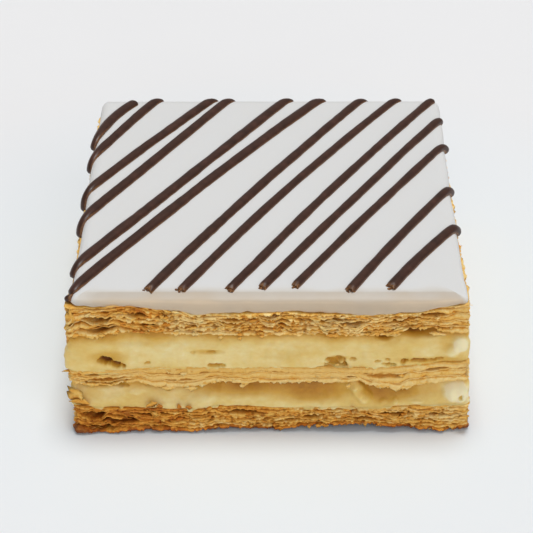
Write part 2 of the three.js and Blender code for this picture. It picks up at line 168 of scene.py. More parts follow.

# The custard layers. `front` is the cut front from its foot to its top: share of the height, and how far
# inside the outline. `flank` is the same on the other sides. `smear` is how far it hangs over the sheet
# below, along the front. `dents` are the soft hollows of its cut front: x, height, half width, half height,
# depth (below zero it bulges out) and how much painted shade it gets (below zero, painted light, as on the
# bulges and at the right end). `pits` are the crisp holes, with the same numbers.
CUSTARDS = [{
    "name": "lower_filling", "node": "custard_lower", "under": "base_top", "over": "lower_custard_top",
    "outline": (-44.7, 44.9, -46.0, 45.2), "seed": 51,
    "front": [(0.0, 0.5), (0.3, 0.6), (0.6, 1.3), (0.9, 2.4), (1, 2.8)],
    "flank": [(0.0, 0.2), (0.3, 0.0), (0.7, 0.4), (1, 1.0)],
    "smear": [
        (-44, 0.2), (-26, 0.1), (-19, 0), (-17.5, 0.4), (-15, 0.3), (-13, 0), (2, 0.1), (8, 0.4),
        (30, 0.3), (44, 0.4),
    ],
    "dents": [
        (-15.4, 7.9, 3.0, 2.0, -0.6, -0.1), (18.7, 12.6, 1.6, 1.8, -1.6, -0.15),
        (20.0, 10.8, 1.8, 1.9, -1.3, -0.15), (21.5, 9.0, 1.7, 1.6, -1.0, -0.15),
        (9.5, 10.9, 9.2, 3.2, 1.0, 0.6), (-8, 11.8, 11.5, 2.5, 0.7, 0.58),
        (26.5, 10.8, 6.8, 3.3, 1.0, 0.54), (34.0, 11.0, 5.0, 2.4, 0.4, 0.22),
        (-37.5, 12.6, 5.5, 1.2, 0.6, 0.5), (-31, 13.6, 3.4, 1.0, 0.6, 0.5), (-23, 12.0, 8, 0.8, 0.4, 0.25),
        (-30, 10.4, 1.8, 0.9, -0.4, -0.15), (42.0, 10.8, 3.2, 3.0, -1.3, -0.4),
        (25.7, 7.8, 0.9, 0.7, -0.4, -0.1), (28.4, 8.0, 0.7, 0.9, -0.5, -0.12),
        (33, 7.8, 1.6, 0.5, -0.4, -0.1),
    ],
    "pits": [(-34, 11.6, 3.0, 0.4, 0.7, 0.25), (43.2, 9.5, 0.9, 0.8, 1.2, 0.4)],
}, {
    "name": "upper_filling", "node": "custard_upper", "under": "middle_top", "over": "upper_custard_top",
    "outline": (-44.8, 44.0, -46.0, 45.2), "seed": 67,
    "front": [(0.0, 0.15), (0.34, 0.3), (0.68, 0.5), (0.9, 1.1), (1, 2.1)],
    "flank": [(0.0, -0.5), (0.35, -0.3), (0.7, 0.3), (1, 0.8)],
    "smear": [(-44, 0.8), (-34, 1.3), (-26, 1.2), (-14, 0.8), (6, 0.9), (13, 0.4), (20, 0.5), (40, 0.1)],
    "dents": [
        (-35.6, 20.2, 4.2, 2.0, 0.6, 0.28), (-13.5, 22.0, 3.6, 0.6, 0.4, 0.2),
        (-28, 25.2, 9, 1.8, 0.3, 0.12), (15.4, 20.4, 2.4, 0.6, 0.2, 0.28),
        (42.4, 24.4, 2.0, 2.4, -0.9, -0.4), (39.0, 24.2, 1.8, 2.4, 0.2, 0.15),
        (40.5, 22, 1.6, 1.6, -0.6, -0.2), (33, 27.2, 4.6, 1.5, 1.9, 0.6), (25.2, 26.0, 1.9, 1.0, 1.3, 0.55),
        (0, 21.5, 5, 1.5, 0.25, 0.1), (36, 19.8, 8, 1.0, 0.2, 0.25),
    ],
    "pits": [
        (-36.6, 19.4, 1.6, 0.95, 1.9, 0.8), (-33.9, 18.2, 1.7, 1.0, 1.7, 0.75),
        (-17.0, 21.7, 0.6, 0.35, 0.4, 0.15), (-12.9, 21.8, 1.1, 0.35, 0.4, 0.2),
        (-27.1, 19.0, 0.9, 0.5, 0.8, 0.45), (-11.9, 18.5, 2.0, 0.6, 0.9, 0.55),
        (14.7, 18.5, 2.8, 2.2, 1.6, 0.48), (18.4, 19.9, 0.8, 0.4, 0.8, 0.3),
        (24.0, 19.4, 0.8, 0.3, 0.8, 0.35), (26.2, 19.9, 0.7, 0.4, 0.9, 0.35),
        (26.8, 18.7, 1.9, 0.45, 1.1, 0.4), (29.5, 19.3, 0.6, 0.7, 0.9, 0.4),
        (33.4, 19.8, 3.4, 0.45, 0.8, 0.35), (37.6, 20.2, 1.2, 0.4, 0.5, 0.2),
    ],
}]

# The icing. `front` and `flank` are its rim from its foot to its top, `splay` how much further out its right
# side stands at the back than in the middle, and `sheer` how far the pastry shows through it along the front,
# which also sets the painted shade of the front rim there.
ICING = {
    "name": "icing_sheet", "node": "icing", "outline": (-43.5, 43.4, -45.9, 46.7), "seed": 83, "splay": 0.8,
    "front": [
        (0.0, 0.3), (0.1, 0.1), (0.3, 0.0), (0.55, 0.1), (0.76, 0.45), (0.91, 1.2), (0.97, 2.0), (1.0, 2.9),
    ],
    "flank": [(0.0, 0.2), (0.11, 0.0), (0.4, 0.12), (0.68, 0.45), (0.87, 1.0), (0.97, 1.7), (1.0, 2.5)],
    "sheer": [(-44, 0.45), (-38, 0.8), (-30, 0.98), (-22, 1), (38, 1), (44, 0.75)],
}

# The chocolate lines, from left to right: where each crosses the slice's middle, its lean there in degrees
# from the front-to-back direction, its bow for each square millimetre, its width against the usual one, how
# far its near end hangs down the left side or stops short of the cut, and how far its other end hangs down.
LINES = [
    (0, 0, 0, 1.25, 3.4, 0.1), (-50.1, 22.4, 0.0011, 1.12, 4.4, 2.0),
    (-43.2, 30.5, 0.0006, 1.17, 5.4, 2.4), (-36.25, 29.2, 0, 1.17, 5.2, 2.4),
    (-23.45, 31.4, 0, 1.2, 3.8, 2.4), (-17.45, 32.4, 0.0006, 1.22, 1.9, 2.4),
    (-3.45, 29.6, 0.0006, 1.05, 3.7, 2.4), (4.0, 30.4, 0.0009, 0.98, 3.7, 2.4),
    (14.6, 30.0, 0.0006, 0.98, 3.9, 0.8), (22.15, 30.4, 0.0003, 0.96, 5.0, 1.8),
    (29.55, 31.3, 0.0005, 0.96, 5.5, 2.8), (42.05, 32.2, 0.0012, 1.02, 3.7, 2.8),
    (55.2, 39.7, 0.0032, 1.08, 5.0, 3.0),
]
# The first line only crosses the back left corner and bends along the left side there: y and x.
FIRST_LINE = [
    (22, -43.9), (24, -43.6), (27, -42.8), (31, -41.5), (34.5, -40.3), (38, -38.7), (42, -36.3), (47, -32.3),
]
BEAD_HALF_WIDTH = 1.17
BEAD_RISE = 1.0
BEAD_SINK = 0.4

# ---- Unevenness ----


def scattered(ix, iy, iz, seed):
    """A fixed random number between -1 and 1 for each whole place."""
    mixed = (ix * 374761393 + iy * 668265263 + iz * 1440662683 + seed * 1274126177) & 0xFFFFFFFF
    mixed = ((mixed ^ (mixed >> 13)) * 1274126177) & 0xFFFFFFFF
    return ((mixed ^ (mixed >> 16)) & 0xFFFF) / 32767.5 - 1


def noise(spot, size, seed):
    """Smooth noise between -1 and 1 at spots of x, y and z, whose lumps are about as large as size."""
    places = [np.asarray(value, dtype=float) / size for value in spot]
    whole = [np.floor(value).astype(np.int64) for value in places]
    share = [value - low for value, low in zip(places, whole)]
    fade = [t * t * (3 - 2 * t) for t in share]
    total = 0
    for corner in range(8):
        step = [(corner >> axis) & 1 for axis in range(3)]
        weight = 1
        for axis in range(3):
            weight = weight * (fade[axis] if step[axis] else 1 - fade[axis])
        total = total + weight * scattered(*(whole[axis] + step[axis] for axis in range(3)), seed)
    return total


def chips(way, length, seed):
    """One random number between -1 and 1 for each torn stretch along the way, about length long."""
    random = np.random.default_rng(seed)
    count = int(way[-1] / length * 1.3) + 4
    cuts = np.cumsum(random.uniform(0.3, 1.7, count)) * length
    return random.uniform(-1, 1, count + 1)[np.searchsorted(cuts, way)]


def smooth(value):
    value = np.clip(value, 0, 1)
    return value * value * (3 - 2 * value)


def between(knots, where):
    """The value at a place, from straight stretches between (place, value) knots."""
    at, values = zip(*knots)
    return np.interp(where, at, values)


def spline(knots, shares):
    """A smooth curve through (share, value) knots, at the shares asked."""
    at, values = np.array(knots, dtype=float).T
    slopes = np.gradient(values, at)
    i = np.clip(np.searchsorted(at, shares) - 1, 0, len(at) - 2)
    span = at[i + 1] - at[i]
    t = np.clip((shares - at[i]) / span, 0, 1)
    start = values[i] * (1 + 2 * t) * (1 - t) ** 2 + slopes[i] * span * t * (1 - t) ** 2
    end = values[i + 1] * t * t * (3 - 2 * t) + slopes[i + 1] * span * t * t * (t - 1)
    return start + end


def unit(vectors):
    return vectors / np.linalg.norm(vectors, axis=-1, keepdims=True)


def travelled(points):
    """How far along a path each of its points is."""
    steps = np.linalg.norm(np.diff(points, axis=0), axis=1)
    return np.concatenate([[0], np.cumsum(steps)])


def sampled(path, way, stops):
    """The path at the stops, where way is how far along it each of its own points is."""
    return np.stack([np.interp(stops, way, column) for column in path.T], axis=1)


# ---- Places round the slice ----

ARC_COLUMNS = 14
SIDE_COLUMNS = (470, 270, 240, 270)  # front, right, back, left


def walk():
    """Columns round an outline, anticlockwise from the front left corner: side, angle, share of the side."""
    side, angle, along = [], [], []
    for turn, count in enumerate(SIDE_COLUMNS):
        start = math.pi * (1 + turn / 2)
        side.append(np.full(ARC_COLUMNS + count, turn))
        angle.append(start + np.arange(ARC_COLUMNS) / ARC_COLUMNS * math.pi / 2)
        angle.append(np.full(count, start + math.pi / 2))
        along.append(np.zeros(ARC_COLUMNS))
        along.append(np.arange(count) / count)
    return np.concatenate(side), np.concatenate(angle), np.concatenate(along)


SIDE, ANGLE, ALONG = walk()
COLUMNS = len(SIDE)
FRONT = np.clip(-np.sin(ANGLE), 0, 1) ** 2  # 1 on the cut front, 0 on the other sides


def place(outline, inset, corner=PASTRY_CORNER):
    """X and y round an outline, moved inwards by inset, which may vary from column to column."""
    left, right, front, back = outline
    deep = np.maximum(inset - corner, 0)
    reach = np.maximum(corner - inset, 0.05)
    edge = corner + deep
    following = (SIDE + 1) % 4
    lean_x = np.array([1, -1, -1, 1])
    lean_y = np.array([1, 1, -1, -1])
    from_x = np.array([left, right, right, left])
    from_y = np.array([front, front, back, back])
    x0, x1 = (from_x[turn] + lean_x[turn] * edge for turn in (SIDE, following))
    y0, y1 = (from_y[turn] + lean_y[turn] * edge for turn in (SIDE, following))
    x = x0 + (x1 - x0) * ALONG + np.cos(ANGLE) * reach
    y = y0 + (y1 - y0) * ALONG + np.sin(ANGLE) * reach
    return x, y


def along_front(knots, x, elsewhere=0.0):
    """A value that follows (x, value) knots along the front, and has another value on the other sides."""
    return FRONT * between(knots, x) + (1 - FRONT) * elsewhere


def wall(form, share):
    """How far inside its outline a form's side is, at a share of its height."""
    shares = np.full(COLUMNS, share)
    return FRONT * spline(form["front"], shares) + (1 - FRONT) * spline(form["flank"], shares)


def joint(name, x, y):
    """The height of a joint between layers."""
    height, rise, unevenness, front = JOINTS[name]
    near = smooth(1 - (y - FRONT_Y) / FRONT_REACH)
    plain = height + rise * x
    uneven = unevenness * (1 - 0.6 * near) * noise((x, y, 9 * height), 8, 2)
    return plain + (between(front, x) - plain) * near + uneven


# ---- Meshes ----


def added(name, data):
    """A new object in the scene."""
    made = bpy.data.objects.new(name, data)
    bpy.context.scene.collection.objects.link(made)
    return made


class Shape:
    """Vertices, faces and one number or more for each vertex, gathered from several grids."""

    def __init__(self, *fields):
        self.points = []
        self.faces = []
        self.fields = {field: [] for field in fields}
        self.count = 0

    def add(self, points, faces, **fields):
        points = np.asarray(points, dtype=float).reshape(-1, 3)
        self.points.append(points)
        self.faces += (np.asarray(faces) + self.count).tolist()
        for field, gathered in self.fields.items():
            gathered.append(np.broadcast_to(fields[field], (len(points),)).astype(float))
        self.count += len(points)

    def band(self, rows, **fields):
        """A grid of rows of x, y and z that each close on themselves."""
        grid = np.stack([np.stack(np.broadcast_arrays(*row), axis=-1) for row in rows])
        count = grid.shape[1]
        low = np.arange(len(rows) - 1)[:, None] * count
        column = np.arange(count)[None, :]
        following = (column + 1) % count
        corners = [low + column, low + following, low + count + following, low + count + column]
        faces = np.stack(corners, axis=-1)
        flat = {field: np.broadcast_to(value, grid.shape[:2]).ravel() for field, value in fields.items()}
        self.add(grid, faces.reshape(-1, 4), **flat)

    def fan(self, row, centre, up, **fields):
        """Closes a row with triangles that meet in its centre."""
        points = np.stack(np.broadcast_arrays(*row), axis=-1)
        count = len(points)
        ring = np.arange(count)
        following = (ring + 1) % count
        tip = np.full(count, count)
        faces = [ring, following, tip] if up else [following, ring, tip]
        self.add(np.vstack([points, centre]), np.stack(faces, axis=-1), **fields)

    def tube(self, sections, **fields):
        """Closed cross-sections, one after another, closed at both ends."""
        self.band([tuple(section.T) for section in sections], **fields)
        for section, last in ((sections[0], False), (sections[-1], True)):
            values = {field: float(np.mean(value)) for field, value in fields.items()}
            self.fan(tuple(section.T), section.mean(axis=0), last, **values)

    def piece(self, name, material):
        mesh = bpy.data.meshes.new(name)
        mesh.from_pydata((np.vstack(self.points) * MM).tolist(), [], self.faces)
        for field, gathered in self.fields.items():
            attribute = mesh.attributes.new(field, "FLOAT", "POINT")
            attribute.data.foreach_set("value", np.concatenate(gathered).astype(np.float32))
        mesh.polygons.foreach_set("use_smooth", np.ones(len(mesh.polygons), dtype=bool))
        mesh.materials.append(material)
        mesh.update()
        made = added(name, mesh)
        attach(made, "root")
        return made


UP = np.array([0, 0, 1.0])
FLAKE_STATIONS = np.linspace(-0.97, 0.97, 7)[:, None]
FLAKE_HALF_THICKNESS = 0.07
CRUMB_LEVELS = (-0.85, -0.3, 0.35, 0.9)
CRUMB_SIDES = 6


def flake(shape, middle, along, across, length, width, bend, random, **fields):
    """A torn scrap of leaf: thin, ragged, pointed and bent at its ends."""
    normal = unit(np.cross(along, across))
    across = np.cross(normal, along)
    narrowing = 1 - np.abs(FLAKE_STATIONS)
    outline = width / 2 * narrowing**0.6
    near, far = (outline * random.uniform(0.6, 1.5, outline.shape) for _ in range(2))
    spine = middle + along * FLAKE_STATIONS * length / 2 + normal * bend * FLAKE_STATIONS**2
    thickness = normal * FLAKE_HALF_THICKNESS * narrowing**0.3
    corners = [spine - across * near, spine - thickness, spine + across * far, spine + thickness]
    sections = np.stack(corners, axis=1)
    sections[..., 2] = np.maximum(sections[..., 2], 0)
    shape.tube(sections, **fields)


def lump(shape, middle, size, random, **fields):
    """A small uneven crumb."""
    around = np.arange(CRUMB_SIDES) / CRUMB_SIDES * 2 * math.pi
    sections = []
    for level in CRUMB_LEVELS:
        reach = size * math.sqrt(1 - level * level) * random.uniform(0.75, 1.25, CRUMB_SIDES)
        ring = [np.cos(around) * reach, np.sin(around) * reach, np.full(CRUMB_SIDES, level * size)]
        sections.append(middle + np.stack(ring, axis=1))
    shape.tube(np.stack(sections), **fields)


# ---- Materials ----

# Colours as (position, sRGB code) stops.
CRUST = [(0.0, "fadc94"), (0.25, "f4c05c"), (0.5, "e89f36"), (0.75, "c9731b"), (1.0, "824008")]
# The crease colours are painted shade: the dark of the creases between leaves, deeper where the crust is
# browner.
PAINTED_CREASE_SHADE = [(0.2, "a8671a"), (0.9, "5a2806")]
SMEARED_CRUST = "eab95e"
# Painted crease shade where custard is smeared over the leaves.
PAINTED_SMEARED_CREASE_SHADE = "d0902c"
# The custard's yellow: paler for painted light on bulges, deeper golden brown for painted shade.
CUSTARD_SHADES = [
    (0.0, "f4e7bb"), (0.1, "eed999"), (0.26, "e7c776"), (0.5, "d8aa46"), (0.75, "c18925"), (1.0, "784210"),
]
# From white to the tan of the front rim: partly pastry showing through the thin icing, partly painted shade.
ICING_SHADES = [
    (0.0, "dadad9"), (0.12, "dad9d7"), (0.35, "d3cfc8"), (0.6, "c5bcb0"), (0.85, "c1b19c"), (1.0, "cbb89f"),
]
CHOCOLATE = [(0.3, "341d13"), (0.55, "41261b"), (0.8, "4f3026")]
BROKEN_CHOCOLATE = [(0.35, "5f2f14"), (0.65, "c68f55")]
FLOOR = [(0.0, "e8e8e9"), (1.0, "eaeaeb")]
# A painted cool tint round the slice, cancelling the warm light the pastry throws on the floor.
FLOOR_COOL_TINT_BY_SLICE = "e0ecf3"


def colour(code):
    """The linear colour of an sRGB code such as d9b36c."""
    channels = [int(code[i : i + 2], 16) / 255 for i in (0, 2, 4)]
    return [c / 12.92 if c <= 0.04045 else ((c + 0.055) / 1.055) ** 2.4 for c in channels] + [1]


class Finish:
    """A material with one Principled shader, and short ways to add nodes to it."""

    def __init__(self, name, roughness, specular, softness=0.0, spread=None):
        self.material = bpy.data.materials.new(name)
        self.material.use_nodes = True
        self.tree = self.material.node_tree
        self.shader = self.tree.nodes["Principled BSDF"]
        self.shader.inputs["Roughness"].default_value = roughness
        self.shader.inputs["Specular IOR Level"].default_value = specular
        if softness:
            self.shader.inputs["Subsurface Weight"].default_value = softness
            self.shader.inputs["Subsurface Radius"].default_value = spread
            self.shader.inputs["Subsurface Scale"].default_value = MM
        self.place = self.tree.nodes.new("ShaderNodeTexCoord").outputs["Object"]

    def feed(self, socket, value):
        if isinstance(value, bpy.types.NodeSocket):
            self.tree.links.new(value, socket)
        else:
            socket.default_value = value

    def node(self, kind, output, **inputs):
        """The output of a new node. Inputs go by name, and are values or other outputs."""
        made = self.tree.nodes.new(kind)
        for name, value in inputs.items():
            self.feed(made.inputs[name], value)
        return made.outputs[output]

    def attribute(self, name):
        made = self.tree.nodes.new("ShaderNodeAttribute")
        made.attribute_name = name
        return made.outputs["Fac"]

    def noise(self, size, detail=3.0, roughness=0.55, stretch=(1, 1, 1)):
        """Noise whose lumps are about size millimetres, longer along an axis with a stretch below 1."""
        place = self.node("ShaderNodeMapping", "Vector", Vector=self.place, Scale=stretch)
        sockets = {"Vector": place, "Scale": 1 / (size * MM), "Detail": detail, "Roughness": roughness}
        return self.node("ShaderNodeTexNoise", "Fac", **sockets)

    def glow(self, reach):
        """1 at the origin, falling to 0 at reach millimetres."""
        place = self.node("ShaderNodeMapping", "Vector", Vector=self.place, Scale=(1 / (reach * MM),) * 3)
        made = self.tree.nodes.new("ShaderNodeTexGradient")
        made.gradient_type = "SPHERICAL"
        self.feed(made.inputs["Vector"], place)
        return made.outputs["Fac"]

    def math(self, operation, first, second, clamp=False):
        made = self.tree.nodes.new("ShaderNodeMath")
        made.operation = operation
        made.use_clamp = clamp
        self.feed(made.inputs[0], first)
        self.feed(made.inputs[1], second)
        return made.outputs[0]

    def vary(self, value, pattern, amount, clamp=False):
        """A value that a pattern moves up and down by up to about amount."""
        centred = self.math("SUBTRACT", pattern, 0.5)
        return self.math("ADD", value, self.math("MULTIPLY", centred, 2 * amount), clamp)

    def ramp(self, factor, stops):
        """A colour for each factor, from (position, colour code) stops."""
        made = self.tree.nodes.new("ShaderNodeValToRGB")
        self.feed(made.inputs["Fac"], factor)
        elements = made.color_ramp.elements
        while len(elements) < len(stops):
            elements.new(0.5)
        for element, (position, code) in zip(elements, stops):
            element.position = position
            element.color = colour(code)
        return made.outputs["Color"]

    def mix(self, factor, first, second):
        made = self.tree.nodes.new("ShaderNodeMix")
        made.data_type = "RGBA"
        for index, value in ((0, factor), (6, first), (7, second)):
            self.feed(made.inputs[index], value)
        return made.outputs[2]

    def paint(self, output):
        self.feed(self.shader.inputs["Base Color"], output)

    def bump(self, height, strength, distance):
        sockets = {"Height": height, "Strength": strength, "Distance": distance * MM}
        normal = self.node("ShaderNodeBump", "Normal", **sockets)
        self.feed(self.shader.inputs["Normal"], normal)


def pastry_finish():
    """Baked leaves: pale gold where thin or freshly broken, with toasted specks. The gaps between leaves, the
    pits between crumbs and the leaf undersides get painted shade, and the lips a painted highlight.
    """
    finish = Finish("flaky_pastry", 0.6, 0.3)
    patches = finish.noise(2.4, 4.0, 0.6, (1, 1, 2.2))
    specks = finish.noise(0.5, 3.0, 0.7, (1, 1, 1.6))
    streaks = finish.noise(1.6, 4.0, 0.65, (0.6, 1, 1.6))
    # This attribute holds the bake tone and also painted light and shade: lit lips, shaded leaf undersides,
    # lighter crumbs.
    baked = finish.attribute("bake")
    smear = finish.attribute("smear")
    shade = finish.vary(baked, patches, 0.35)
    shade = finish.vary(shade, specks, 0.35, clamp=True)
    smeared = finish.vary(smear, streaks, 0.5, clamp=True)
    surface = finish.mix(smeared, finish.ramp(shade, CRUST), colour(SMEARED_CRUST))
    painted_crease_colour = finish.mix(smear, finish.ramp(baked, PAINTED_CREASE_SHADE), colour(PAINTED_SMEARED_CREASE_SHADE))
    # Painted shade: depth mixes the crease colour in, darker the further the surface lies behind the lip.
    finish.paint(finish.mix(finish.attribute("depth"), surface, painted_crease_colour))
    finish.bump(finish.noise(0.45, 4.0, 0.65, (1, 1, 1.3)), 0.8, 0.28)
    return finish.material


def custard_finish():
    """Set custard: pale yellow, soft inside and a little moist, with painted shade in its dents, its pits and
    under the sheet above, and painted light on its bulges.
    """
    finish = Finish("custard", 0.5, 0.35, 0.25, (1.0, 0.72, 0.3))
    shade = finish.vary(finish.attribute("hollow"), finish.noise(6.0, 3.0, 0.5, (1, 1, 1.3)), 0.15)
    shade = finish.vary(shade, finish.noise(1.5, 3.0, 0.6, (0.8, 0.8, 1.2)), 0.12, clamp=True)
    finish.paint(finish.ramp(shade, CUSTARD_SHADES))
    finish.bump(finish.noise(0.9, 4.0, 0.6), 0.35, 0.2)
    return finish.material


def icing_finish():
    """Set white icing with a soft sheen. Where it is thin the pastry shows through; along the front rim that
    tan tint is also painted shade, fading onto the top near the front edge.
    """
    finish = Finish("white_icing", 0.5, 0.25, 0.2, (1.0, 0.9, 0.8))
    shade = finish.vary(finish.attribute("thin"), finish.noise(7.0, 3.0, 0.5, (1, 1, 0.4)), 0.1)
    shade = finish.vary(shade, finish.noise(1.6, 3.0, 0.5), 0.04, clamp=True)
    finish.paint(finish.ramp(shade, ICING_SHADES))
    finish.bump(finish.noise(3.5, 2.0, 0.4), 0.12, 0.25)
    return finish.material


def chocolate_finish():
    """Dark chocolate, satin, with fine ridges, paler and rougher where it is thin or has crumbled."""
    finish = Finish("dark_chocolate", 0.38, 0.4)
    body = finish.ramp(finish.noise(2.6, 4.0, 0.6), CHOCOLATE)
    broken = finish.ramp(finish.noise(0.4, 3.0, 0.6), BROKEN_CHOCOLATE)
    finish.paint(finish.mix(finish.attribute("broken"), body, broken))
    finish.bump(finish.noise(0.35, 3.0, 0.6), 0.3, 0.06)
    return finish.material


# ---- Pastry ----

CORE_INSET = 3.6  # how far inside its outline a sheet's closed middle starts
SIDE_GAPS = 26  # wide openings between leaves in a sheet's other three sides
LEAF_STEP = 7.0  # between one leaf's noise and the next one's
CHIP_LENGTHS = (3.6, 1.1, 0.5)  # of the torn stretches of a lip
GRAIN_SIZES = (0.85, 0.42)  # of the crumbs that a broken lip is made of
LIP_RANGE = (-1.6, 2.4)  # of how far inside the outline a lip may be
SLANT_START = -34  # the y where the left side's slant begins
SLANT_LENGTH = 11  # how much further on it is full
CORNER_START = 42.5  # named scraps further out than this face out of a corner
# The section of a leaf, from its root below, round its lip, to its root above: share of the way from the root
# to the lip, and share of half its thickness.
LEAF_SECTION = [
    (0, -1), (0.7, -0.96), (0.95, -0.72), (1, -0.25), (1, 0.25), (0.95, 0.72), (0.7, 0.96), (0, 1),
]


def wide_gaps(sheet, x, y, bottom, top):
    """How high the wide openings below each leaf are: the table's on the cut front, random ones elsewhere."""
    seed, leaves = sheet["seed"], sheet["leaves"]
    wide = np.zeros((leaves, COLUMNS))
    for at, height, half_width, opening in sheet["gaps"]:
        nearest = np.argmin(np.abs(x - at) + 100 * (1 - FRONT))
        share = (height - bottom[nearest]) / (top[nearest] - bottom[nearest])
        above = int(np.clip(round(share * leaves), 1, leaves - 1))
        lens = np.clip(1 - np.abs((x - at) / half_width) ** 3, 0, 1)
        wide[above] += opening * FRONT * lens * (1 + 0.5 * noise((x, y, height), 1.3, seed))
    random = np.random.default_rng(seed + 500)
    for centre in random.choice(np.flatnonzero(SIDE > 0), SIDE_GAPS):
        away = np.hypot(x - x[centre], y - y[centre]) / random.uniform(1.6, 5.0)
        lens = np.clip(1 - away**3, 0, 1) * (1 - FRONT)
        ragged = 1 + 0.5 * noise((x, y, 5 * centre), 1.3, seed)
        wide[random.integers(1, leaves)] += random.uniform(0.3, 1.1) * lens * ragged
    return wide


def leaf_heights(sheet, x, y, crumb):
    """The lower and upper face of each leaf. Leaves and the gaps between them share the sheet's thickness."""
    bottom = joint(sheet["under"], x, y) + (0 if sheet["under"] == "floor" else LAYER_GAP / 2)
    top = joint(sheet["over"], x, y) - LAYER_GAP / 2
    seed = sheet["seed"]
    wide = wide_gaps(sheet, x, y, bottom, top)
    thick, gaps = [], []
    for leaf in range(sheet["leaves"]):
        spot = (x, y, LEAF_STEP * leaf)
        body = 1 + (0.35 + 0.35 * crumb) * noise(spot, 7, seed) + 0.4 * noise(spot, 2.4, seed + 1)
        merged = 1 - 0.85 * (1 - crumb) * (leaf % 2)
        thick.append(np.clip(body, 0.25, None) * merged)
        opening = noise(spot, 4.5, seed + 2) + 0.45 * noise(spot, 1.5, seed + 3) - 0.35
        opening = 1.5 * opening * merged * (0.3 + 0.7 * smooth(crumb / 0.4))
        gaps.append(np.clip(opening, 0, 1.5) if leaf else np.zeros(COLUMNS))
    thick, gaps = np.array(thick), np.array(gaps)
    unit_height = (top - bottom - wide.sum(axis=0)) / (thick.sum(axis=0) + gaps.sum(axis=0))
    low = bottom + np.cumsum(gaps * unit_height + wide, axis=0)
    low[1:] += np.cumsum(thick * unit_height, axis=0)[:-1]
    return low, low + thick * unit_height


def leaf_lips(sheet, x, y, crumb, baked, smear):
    """For each leaf, how far inside the outline its lip is, how far it curls up, and how brown it is."""
    seed, leaves = sheet["seed"], sheet["leaves"]
    way = travelled(np.stack([x, y], axis=1))
    upper_bake = along_front(sheet["upper_bake"], x)
    foot = along_front(sheet["foot"], x, SIDE_FOOT)
    calm = 1 - 0.6 * smear
    slant = sheet["slant"] * np.clip(-np.cos(ANGLE), 0, 1) * smooth((SLANT_START - y) / SLANT_LENGTH)
    cut = 0.25 * noise((x, y, 0), 15, seed + 13) - slant
    lips, curls, tones = [], [], []
    for leaf in range(leaves):
        spot = (x, y, LEAF_STEP * leaf + 300)
        broken = crumb if leaf else np.maximum(crumb, 0.8)  # the lowest leaf's lip is always ragged
        long_chips, short_chips, tiny_chips = (
            chips(way, length, seed * 100 + leaf + 30 * number) for number, length in enumerate(CHIP_LENGTHS)
        )
        lip = 0.3 + cut + 0.3 * noise(spot, 6, seed + 5) * calm
        lip = lip + (0.16 + 0.12 * broken) * long_chips * calm + 0.24 * broken * short_chips
        lip = lip + (0.05 + 0.12 * broken) * tiny_chips + 0.1 * noise(spot, 0.7, seed + 7)
        torn = smooth((-long_chips - 0.72) / 0.1) * crumb
        lips.append(np.clip(lip + 0.8 * torn - (0 if leaf else foot), *LIP_RANGE))
        curl = (0.08 + 0.12 * crumb) * noise(spot, 4, seed + 9) + 0.13 * broken * short_chips
        curls.append(curl + 0.08 * noise(spot, 0.8, seed + 10))
        tone = baked + 0.14 * noise(spot, 12, seed + 11) + 0.12 * noise(spot, 3, seed + 12)
        tone = tone + upper_bake * (leaf / (leaves - 1) - 0.5)
        tones.append(tone + 0.16 * crumb * short_chips)
    return np.array(lips), curls, tones


def leaf_roots(low, high, lips, crumb, smear):
    """How far in the crease below each leaf reaches, and above the last. Pressed leaves hide theirs."""
    roots = np.full((len(low) + 1, COLUMNS), CORE_INSET + 0.3)
    roots[1:-1] -= (CORE_INSET - 1.0) * smooth(2 * smear)  # smeared custard fills the creases
    opening = low[1:] - high[:-1]
    pressed = smooth(1 - opening / 0.15) * smooth(1.2 - 2.4 * crumb)
    outer = np.maximum(lips[1:], lips[:-1]) + 0.25 - 0.15 * smear
    roots[1:-1] += (outer - roots[1:-1]) * pressed
    return roots


def scrap(shape, turn, spot, sunk, length, width, roll, tip, bend, random, tone):
    """A flake at a spot of a side that faces the angle turn, rolled along it and tipped up from level."""
    outwards = np.array([math.cos(turn), math.sin(turn), 0])
    sideways = np.array([-outwards[1], outwards[0], 0])
    across = outwards * math.cos(tip) + UP * math.sin(tip)
    along = sideways * math.cos(roll) + UP * math.sin(roll)
    middle = spot + across * (width / 2 - sunk)
    flake(shape, middle, along, across, length, width, bend, random, bake=tone, depth=0, smear=0)


def loose_scraps(shape, sheet, low, high, crumb, baked):
    """The flakes that stand out from a sheet's sides, hang from its lower edge, or are named one by one."""
    random = np.random.default_rng(sheet["seed"])
    x, y = place(sheet["outline"], 0.3)
    likely = (0.15 + crumb) * (1 + 0.8 * FRONT)
    likely /= likely.sum()
    for number in range(sheet["flakes"] + sheet["teeth"]):
        hanging = number >= sheet["flakes"]
        column = random.integers(COLUMNS) if hanging else random.choice(COLUMNS, p=likely)
        lowest, highest = low[0, column], high[-1, column]
        roll = random.normal(0, 0.12 if hanging else 0.28)
        tip = random.normal(-1.25, 0.25) if hanging else random.normal(-0.1, 0.55)
        length = random.uniform(0.7, 2.0 if hanging else 2.6)
        width = random.uniform(0.6, 1.2)
        level = lowest + 0.25 if hanging else random.uniform(lowest + 0.3, highest - 0.2)
        bend = random.uniform(-0.12, 0.16) * length
        tone = baked[column] + min(random.normal(-0.1, 0.16), 0.08)
        spot = np.array([x[column], y[column], level])
        scrap(shape, ANGLE[column], spot, 0.5, length, width, roll, tip, bend, random, tone)
    for at, height, length, width, roll, tip, tone in sheet["scraps"]:
        turned = math.copysign(max(abs(at) - CORNER_START, 0) / 2, at)
        turn = -math.pi / 2 + min(max(turned, -1), 1)
        spot = np.array([at, FRONT_Y + 0.25 + abs(turned), height])
        roll, tip = math.radians(roll), math.radians(tip)
        scrap(shape, turn, spot, 0.4, length, width, roll, tip, 0.08 * length, random, tone)


